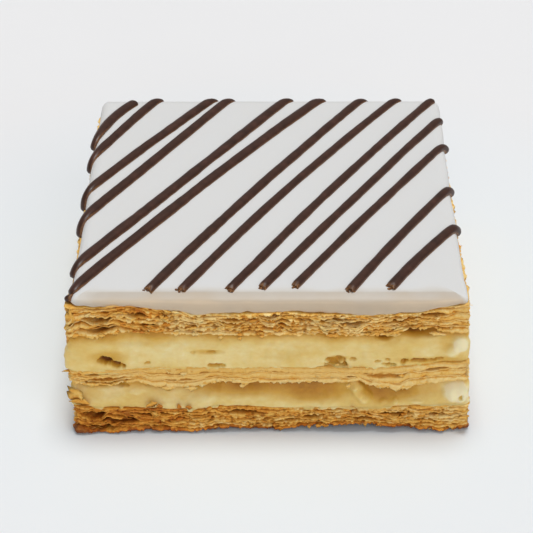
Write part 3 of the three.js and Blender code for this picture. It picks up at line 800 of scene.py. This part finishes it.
def pastry_sheet(sheet, material):
    """A band round the slice for each leaf, one for the bottom of each crease, a closed core, and scraps."""
    shape = Shape("bake", "depth", "smear")
    outline, seed, leaves = sheet["outline"], sheet["seed"], sheet["leaves"]
    x, y = place(outline, 0)
    crumb = along_front(sheet["crumb"], x, 0.6 + 0.4 * noise((x, y, 0), 16, seed))
    baked = along_front(sheet["bake"], x, np.mean([value for _, value in sheet["bake"]]))
    smear = along_front(sheet["smear"], x, np.clip(0.5 * noise((x, y, 0), 12, seed + 20), 0, 1))
    low, high = leaf_heights(sheet, x, y, crumb)
    lips, curls, tones = leaf_lips(sheet, x, y, crumb, baked, smear)
    roots = leaf_roots(low, high, lips, crumb, smear)
    coarse = (0.06 + 0.26 * crumb) * (1 - 0.3 * smear)
    rows = []
    for leaf, (lip, curl, tone) in enumerate(zip(lips, curls, tones)):
        middle = (low[leaf] + high[leaf]) / 2
        half = (high[leaf] - low[leaf]) / 2
        drawn = smear * (0.5 + leaf / leaves)  # the knife drew more custard over the upper leaves
        sole = 0 if leaf else sheet["sole"]
        below = rows[-1] if leaf else None
        rows, crease_shade_rows, bakes = [], [], []
        for out, up in LEAF_SECTION:
            at_lip = out > 0.9
            root = roots[leaf + (up > 0)]
            level = np.maximum(middle + half * up + curl * out**4, 0)
            coarser, finer = (noise((x, y, level), size, seed + 14 + i) for i, size in enumerate(GRAIN_SIZES))
            grain = coarser + 0.6 * finer
            inset = root + (lip - coarse * grain - root) * out
            rows.append((*place(outline, inset), level))
            # Painted shade in the pits between crumbs: pores add to depth, which darkens the surface behind
            # the lip.
            pore = smooth((-grain - 0.35) / 0.5) * smooth(crumb * 1.5) * at_lip
            depth = 0.9 * np.clip((inset - lip) / CORE_INSET, 0, 1) ** 0.7 + 0.45 * pore
            crease_shade_rows.append((1 - 0.5 * smear) * depth)
            # Painted shade on every leaf's underside, and a painted highlight on each lip where it catches
            # the light, partly its paler thin edge. The sole is the base's browner baked underside.
            shade = (0.12 if up < 0 else 0) + sole * (1 - up) / 2
            shade -= 0.22 if at_lip and not sole else 0
            # Painted light and shade on the grain: crumbs that stand out are lighter, the hollows between
            # them darker.
            bakes.append(tone + shade - 0.5 * coarse * grain)
        shape.band(rows, bake=np.array(bakes), depth=np.array(crease_shade_rows), smear=drawn)
        # Each crease bottom gets painted shade through depth.
        if leaf:  # the bottom of the crease between this leaf and the one below
            shape.band([below, rows[0]], bake=tone, depth=0.75 - 0.35 * smear, smear=drawn)
    bottom = low[0] + 0.1
    top = high[-1] - 0.1
    # The closed core is painted dark: painted shade deep in the creases.
    rows = [(*place(outline, CORE_INSET), level) for level in (bottom, top)]
    shape.band(rows, bake=0.9, depth=0.9, smear=0)
    shape.fan(rows[0], (0, 0, float(np.mean(bottom))), False, bake=0.9, depth=0.5, smear=0)
    shape.fan(rows[1], (0, 0, float(np.mean(top))), True, bake=0.5, depth=0.2, smear=0)
    loose_scraps(shape, sheet, low, high, crumb, baked)
    made = shape.piece(sheet["name"], material)
    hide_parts(sheet["node"])


# ---- Custard ----

CUSTARD_ROWS = 38
HEM_ROWS = 5  # of the custard that hangs over the sheet below
SIDE_PITS = 34  # in a custard layer's other three sides
INSET_RANGE = (-1.4, 3.6)  # of how far inside the outline a side may be


def side_pits(x, y, bottom, top, seed):
    """Holes in the sides other than the cut front: column, height, half width, half height and depth."""
    random = np.random.default_rng(seed + 500)
    pits = []
    for centre in random.choice(np.flatnonzero(SIDE > 0), SIDE_PITS):
        height = bottom[centre] + (top[centre] - bottom[centre]) * random.uniform(0.1, 0.9)
        wide = random.uniform(0.6, 2.6)
        high = random.uniform(0.35, 1.0)
        pits.append((centre, height, wide, high, random.uniform(0.4, 1.3)))
    return pits


def hollows(layer, hidden_pits, x, y, z):
    """Each dent and pit as its depth, its painted shade (painted light below zero), and its share of both
    round the row at z.
    """
    spot, seed = (x, y, z), layer["seed"]
    for at, height, wide, high, depth, shade in layer["dents"]:
        away = ((x - at) / wide) ** 2 + ((z - height) / high) ** 2
        yield depth, shade, FRONT * np.exp(-1.4 * away * away)
    edge = 1.1 + 0.55 * noise(spot, 1.0, seed + 4) + 0.35 * noise(spot, 0.45, seed + 5)
    for at, height, wide, high, depth, shade in layer["pits"]:
        away = ((x - at) / wide) ** 2 + ((z - height) / high) ** 2
        yield depth, shade, (SIDE == 0) * smooth((edge - away) * 1.3)
    edge = 1.1 + 0.5 * noise(spot, 1.1, seed + 4)
    # Hidden pits get painted shade in step with their depth.
    for centre, height, wide, high, depth in hidden_pits:
        away = (np.hypot(x - x[centre], y - y[centre]) / wide) ** 2 + ((z - height) / high) ** 2
        yield depth, 0.35 * depth, (1 - FRONT) * smooth((edge - away) * 1.3)


def custard(layer, material):
    """A layer's hem over the sheet below, then its side from its foot to its top."""
    shape = Shape("hollow")
    outline, seed = layer["outline"], layer["seed"]
    x, y = place(outline, 0)
    bottom = joint(layer["under"], x, y)
    top = joint(layer["over"], x, y)
    hang = along_front(layer["smear"], x, 0.4 + 0.5 * noise((x, y, 0), 9, seed + 30))
    hang = hang + 0.4 * noise((x, y, 0), 2.6, seed + 31) + 0.25 * noise((x, y, 0), 0.9, seed + 32)
    hang = np.clip(hang, 0, None)
    present = smooth(hang / 0.5)
    hidden_pits = side_pits(x, y, bottom, top, seed)
    ragged = 1 + 0.8 * (1 - FRONT)
    rows, tones = [], []
    for share in np.linspace(-1, 0, HEM_ROWS, endpoint=False):
        z = bottom + hang * share
        inset = 1.5 - present * (1.25 + 0.25 * (1 + share))
        rows.append((*place(outline, inset), z))
        tones.append(0.22 + 0.1 * noise((x, y, z), 1.5, seed + 33))
    for share in np.linspace(0, 1, CUSTARD_ROWS):
        z = bottom + (top - bottom) * share
        spot = (x, y, z)
        inset = wall(layer, share)
        inset = inset - ragged * (0.3 * noise(spot, 9, seed) + 0.27 * noise(spot, 3.2, seed + 1))
        inset = inset - ragged * 0.16 * noise(spot, 1.2, seed + 2)
        # Painted shade under the sheet above: the top third of the side darkens upwards. Dents and pits add
        # painted shade, bulges painted light.
        tone = 0.2 + 0.32 * smooth((share - 0.64) / 0.36) + 0.08 * noise((x, y, 1.4 * z), 5, seed + 3)
        for depth, shade, amount in hollows(layer, hidden_pits, x, y, z):
            inset = inset + depth * amount
            tone = tone + shade * amount
        rows.append((*place(outline, np.clip(inset, *INSET_RANGE)), z))
        tones.append(tone)
    shape.band(rows, hollow=np.array(tones))
    shape.fan(rows[0], (0, 0, float(np.mean(bottom))), False, hollow=0.2)
    shape.fan(rows[-1], (0, 0, float(np.mean(top))), True, hollow=0.2)
    made = shape.piece(layer["name"], material)
    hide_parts(layer["node"])


# ---- Icing ----

ICING_EDGE_ROWS = 20
# The rings of the icing's top, as shares of its rim: close together by the edge, then wider apart.
TOP_RINGS = [*np.linspace(0.99, 0.9, 8), *np.linspace(0.85, 0, 9)[:-1]]


def icing(material):
    """The icing's uneven rim, then its top, ring by ring."""
    shape = Shape("thin")
    outline, seed = ICING["outline"], ICING["seed"]
    x, y = place(outline, 0, ICING_CORNER)
    flat = (x, y, 0)
    top = joint("icing_top", x, y)
    droop = 0.25 + 0.4 * noise(flat, 5, seed) + 0.3 * noise(flat, 1.6, seed + 4)
    bottom = joint("pastry_top", x, y) + LAYER_GAP / 2 - droop
    waver = 0.25 * noise(flat, 11, seed + 1) + 0.12 * noise(flat, 3, seed + 2)
    splay = ICING["splay"] * np.clip(np.cos(ANGLE), 0, 1) * np.maximum(y, 0) / outline[3]
    # Along the front the rim is tinted tan: partly pastry showing through the thin icing, partly painted
    # shade.
    thinness = along_front(ICING["sheer"], x, 0.05)
    rows, thins = [], []
    for share in np.linspace(0, 1, ICING_EDGE_ROWS):
        inset = wall(ICING, share) - waver * (1 - share**3) - splay
        z = bottom + (top - bottom) * share
        rows.append((*place(outline, inset, ICING_CORNER), z))
        sheer = 1 - 0.35 * smooth((share - 0.66) / 0.34) + 0.1 * noise((x, y, z), 5, seed + 5)
        thins.append(thinness * np.clip(sheer, 0, 1))
    rim, rim_thin = np.stack(rows[-1]), thins[-1]
    centre = np.array([0.0, 0.0, ICING_TOP])[:, None]
    for scale in TOP_RINGS:
        ring = centre + (rim - centre) * scale
        ring[2] += 0.1 * noise((ring[0], ring[1], 0), 14, seed + 3) * (1 - scale)
        rows.append(tuple(ring))
        # Painted shade on the rounded front edge: the tint fades onto the top over a few millimetres.
        reach = 3.6 + 1.2 * noise((ring[0], 0, 0), 6, seed + 6)
        thins.append(rim_thin * np.clip(1 - (ring[1] - rim[1].min()) / reach, 0, 1) ** 1.5)
    shape.band(rows, thin=np.array(thins))
    shape.fan(rows[0], (0, 0, float(np.mean(bottom))), False, thin=0.2)
    shape.fan(rows[-1], tuple(centre[:, 0]), True, thin=0)
    made = shape.piece(ICING["name"], material)
    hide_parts(ICING["node"])


# ---- Chocolate ----

# The icing's rounded edge: how far inside the outline, how far below the top, and the tilt there in degrees.
EDGE = [(0, 2.4, 84), (0.15, 1.6, 70), (0.5, 0.9, 52), (1.05, 0.38, 32), (1.75, 0.09, 14), (2.5, 0, 0)]
OUTWARDS = {"left": np.array([-1.0, 0, 0]), "right": np.array([1.0, 0, 0]), "back": np.array([0, 1.0, 0])}
HOOK = 0.6  # how far a line's far end bends to the right as it goes over the back edge
DRIP_DRIFT = 0.35  # how far a hanging end runs along the side for each millimetre down
PATH_POINTS = 2000  # of a line's way, before it is cut into sections
BEAD_STEP = 0.5  # between one section of a line and the next
BEND_REACH = 3  # how many sections a bend is rounded over, each way
BEAD_ANGLES = np.radians([-50, -20, 5, 28, 50, 70, 90, 110, 130, 152, 175, 200, 230])
CRUMBS_PER_CUT = 8
# A drop that broke off by the front left corner, from its upper to its lower end.
LOOSE_DROP = [(-42.9, -42.8, 35.5), (-43.2, -43.4, 34.9), (-43.3, -44.1, 34.0)]
LOOSE_DROP_WIDTH = 0.75
LOOSE_DROP_SECTIONS = 12


def line_path(number):
    """A line's way over the icing as x, y and how far inside the outline, and where it starts and ends."""
    left, right, front, back = ICING["outline"]
    y = np.linspace(front, back, PATH_POINTS)
    right = right + ICING["splay"] * np.maximum(y, 0) / back
    crossing, lean, bow = LINES[number][:3]
    x = crossing + math.tan(math.radians(lean)) * y + bow * y * y
    if number == 0:
        x = np.where(y < FIRST_LINE[0][0], left - 1, spline(FIRST_LINE, y))
    start = max(np.flatnonzero(x < left).tolist(), default=-1) + 1
    stop = min(np.flatnonzero(x > right).tolist(), default=len(y))
    near = "left" if start > 0 else "front"
    far = "right" if stop < len(y) else "back"
    inside = np.minimum(np.minimum(x - left, right - x), back - y)
    return np.stack([x, y, inside], axis=1)[start:stop], near, far


def on_icing(way, near, far):
    """Places and normals of the icing's surface along a line's way, over its rounded edge at both ends."""
    x, y, inside = way.T
    at, below, tilt = np.array(EDGE, dtype=float).T
    ahead = np.arange(len(way)) > len(way) / 2
    drop = np.interp(inside, at, below)
    turn = np.radians(np.interp(inside, at, tilt))
    if near == "front":
        drop, turn = drop * ahead, turn * ahead
    outwards = np.where(ahead[:, None], OUTWARDS[far], OUTWARDS["left"])
    bent = x + (HOOK * smooth(1 - inside / EDGE[-1][0]) if far == "back" else 0) * ahead
    places = np.stack([bent, y, ICING_TOP - drop], axis=1)
    normals = UP * np.cos(turn)[:, None] + outwards * np.sin(turn)[:, None]
    return np.hstack([places, normals])


def hung(knots, side, hang):
    """A line whose last end hangs down a side as far as asked: cut off there, or drawn out downwards."""
    halfway = len(knots) // 2
    knots = knots[:halfway] + [knot for knot in knots[halfway:] if ICING_TOP - knot[2] < hang]
    drift = (knots[-1] - knots[-2])[:3] * (1 - np.abs(OUTWARDS[side]) - UP)
    drift = unit(drift) * DRIP_DRIFT
    steps = np.arange(BEAD_STEP, hang - (ICING_TOP - knots[-1][2]), BEAD_STEP)
    return knots + [knots[-1] + np.hstack([(drift - UP) * step, [0, 0, 0]]) for step in steps]


def softened(path):
    """The path with its bends rounded off and its ends kept."""
    kernel = np.hanning(2 * BEND_REACH + 3)[1:-1]
    padded = np.vstack([[path[0]] * BEND_REACH, path, [path[-1]] * BEND_REACH])
    rounded = [np.convolve(column, kernel / kernel.sum(), "valid") for column in padded.T]
    return np.stack(rounded, axis=1)


def bead(shape, path, number, width, blunt):
    """One line of chocolate along a path: a rounded bead sunk a little in the icing."""
    random = np.random.default_rng(number)
    middle, outwards = path[:, :3], unit(path[:, 3:])
    tangent = unit(np.gradient(middle, axis=0))
    sideways = unit(np.cross(tangent, outwards))
    way = travelled(middle)
    ends = np.clip(np.minimum(way[-1] - way, 1 if blunt else way), 0, 1)
    taper = np.clip(np.sqrt(ends * (2 - ends)), 0.15, 1)
    here = number * 9.0
    sagging = 1 - outwards[:, 2]  # more chocolate gathers where a line hangs over the edge
    wide = width * BEAD_HALF_WIDTH * taper * (1 + 0.2 * sagging)
    wide = wide * (1 + 0.07 * noise((way, here, 0), 7, 3) + 0.05 * noise((way, here, 0), 2, 5))
    rise = BEAD_RISE * taper * (1 + 0.08 * noise((way, here, 5), 6, 4)) * (1 + 0.5 * sagging)
    shift = 0.14 * noise((way, here, 9), 14, 6)
    cut = np.clip(1 - way / 1.2, 0, 1) if blunt else np.zeros(len(way))
    rise = rise * (1 - 0.35 * cut)
    columns, broken = [], []
    for angle in BEAD_ANGLES:
        across, up = math.cos(angle), math.sin(angle)
        aside = across * wide + shift
        lift = np.maximum(up, 0) * rise + min(up, 0) * BEAD_SINK
        ragged = (random.uniform(-0.5, 0.5) + 0.35 * across) * cut
        column = middle + sideways * aside[:, None] + outwards * lift[:, None]
        columns.append(column - tangent * ragged[:, None])
        broken.append(np.clip(0.45 * (up < 0.35) + 0.5 * cut * random.uniform(0, 1), 0, 1))
    sections = np.stack(columns, axis=1)
    shape.band([tuple(section.T) for section in sections], broken=np.stack(broken, axis=1))
    shape.fan(tuple(sections[0].T), sections[0].mean(axis=0), False, broken=0.5)
    shape.fan(tuple(sections[-1].T), sections[-1].mean(axis=0), True, broken=0)
    for _ in range(CRUMBS_PER_CUT if blunt else 0):
        off = random.normal(0.0, 0.45 * width)
        ahead = random.uniform(-0.2, 0.8) - 0.35 * abs(off)
        size = random.uniform(0.15, 0.38)
        spot = middle[0] + sideways[0] * off - tangent[0] * ahead + UP * 0.4 * size
        lump(shape, spot, size, random, broken=random.uniform(0.1, 1.0))


def chocolate(material):
    shape = Shape("broken")
    for number, (_, _, _, width, near_end, far_end) in enumerate(LINES):
        path, near, far = line_path(number)
        way = travelled(path[:, :2])
        stops = np.arange(near_end if near == "front" else 0, way[-1], BEAD_STEP)
        knots = list(on_icing(sampled(path, way, stops), near, far))
        if near == "left":
            knots = hung(knots[::-1], near, near_end)[::-1]
        knots = hung(knots, far, far_end)
        bead(shape, softened(np.array(knots)), number, width, blunt=near == "front")
    drop = np.array([[*spot, *OUTWARDS["left"]] for spot in LOOSE_DROP])
    stops = np.linspace(0, len(drop) - 1, LOOSE_DROP_SECTIONS)
    drop = sampled(drop, np.arange(len(drop)), stops)
    bead(shape, drop, len(LINES), LOOSE_DROP_WIDTH, blunt=False)
    made = shape.piece("chocolate_lines", material)
    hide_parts(ICING["node"])


# ---- Stage ----

FLOOR_SIZE = 6.0  # metres from its middle to its edge
FLOOR_Z = -0.0001  # just under the slice, so that the two never share a plane
COOL_TINT_REACH = 130
SURROUND_STRENGTH = 0.26
# The lights: energy, softness in degrees, and turn in degrees round X and Y from straight above.
LIGHTS = {"overhead": (1.94, 26, -4, 2), "front_fill": (1.01, 60, 56, 28)}
# The camera: what it looks at, its distance, its angle above the horizontal, its lens and its sensor's width.
CAMERA = {"target": (-0.65, -5.28, 18.0), "distance": 431.9, "elevation": 33.26, "lens": 121.2, "sensor": 36}


def stage():
    """A pale floor with a painted cool tint round the slice that cancels the warm light the pastry throws on
    it, a white surround, one broad light above and a weak one in front, and the camera.
    """
    mesh = bpy.data.meshes.new("floor")
    corners = [(x * FLOOR_SIZE, y * FLOOR_SIZE, 0) for x, y in ((-1, -1), (1, -1), (1, 1), (-1, 1))]
    mesh.from_pydata(corners, [], [(0, 1, 2, 3)])
    finish = Finish("floor", 0.9, 0.1)
    plain = finish.ramp(finish.noise(40, 2.0), FLOOR)
    # The painted cool tint is strongest by the slice and fades out by its reach.
    finish.paint(finish.mix(finish.glow(COOL_TINT_REACH), plain, colour(FLOOR_COOL_TINT_BY_SLICE)))
    mesh.materials.append(finish.material)
    floor = added("floor", mesh)
    floor.location.z = FLOOR_Z

    world = bpy.data.worlds.new("studio")
    world.use_nodes = True
    background = world.node_tree.nodes["Background"]
    background.inputs["Color"].default_value = (1, 1, 1, 1)
    background.inputs["Strength"].default_value = SURROUND_STRENGTH
    bpy.context.scene.world = world

    for name, (energy, softness, turn_x, turn_y) in LIGHTS.items():
        light = bpy.data.lights.new(name, "SUN")
        light.energy = energy
        light.angle = math.radians(softness)
        added(name, light).rotation_euler = (math.radians(turn_x), math.radians(turn_y), 0)

    data = bpy.data.cameras.new("camera")
    data.lens = CAMERA["lens"]
    data.sensor_width = CAMERA["sensor"]
    camera = added("camera", data)
    tilt = math.radians(CAMERA["elevation"])
    back = np.array([0, -math.cos(tilt), math.sin(tilt)])
    camera.location = (np.array(CAMERA["target"]) + back * CAMERA["distance"]) * MM
    camera.rotation_euler = (math.pi / 2 - tilt, 0, 0)
    bpy.context.scene.camera = camera
    bpy.context.scene.view_settings.view_transform = "Standard"


# ---- The slice ----

pastry = pastry_finish()
for each_sheet in SHEETS:
    pastry_sheet({**PLAIN_SHEET, **each_sheet}, pastry)
filling = custard_finish()
for each_layer in CUSTARDS:
    custard(each_layer, filling)
icing(icing_finish())
chocolate(chocolate_finish())
stage()
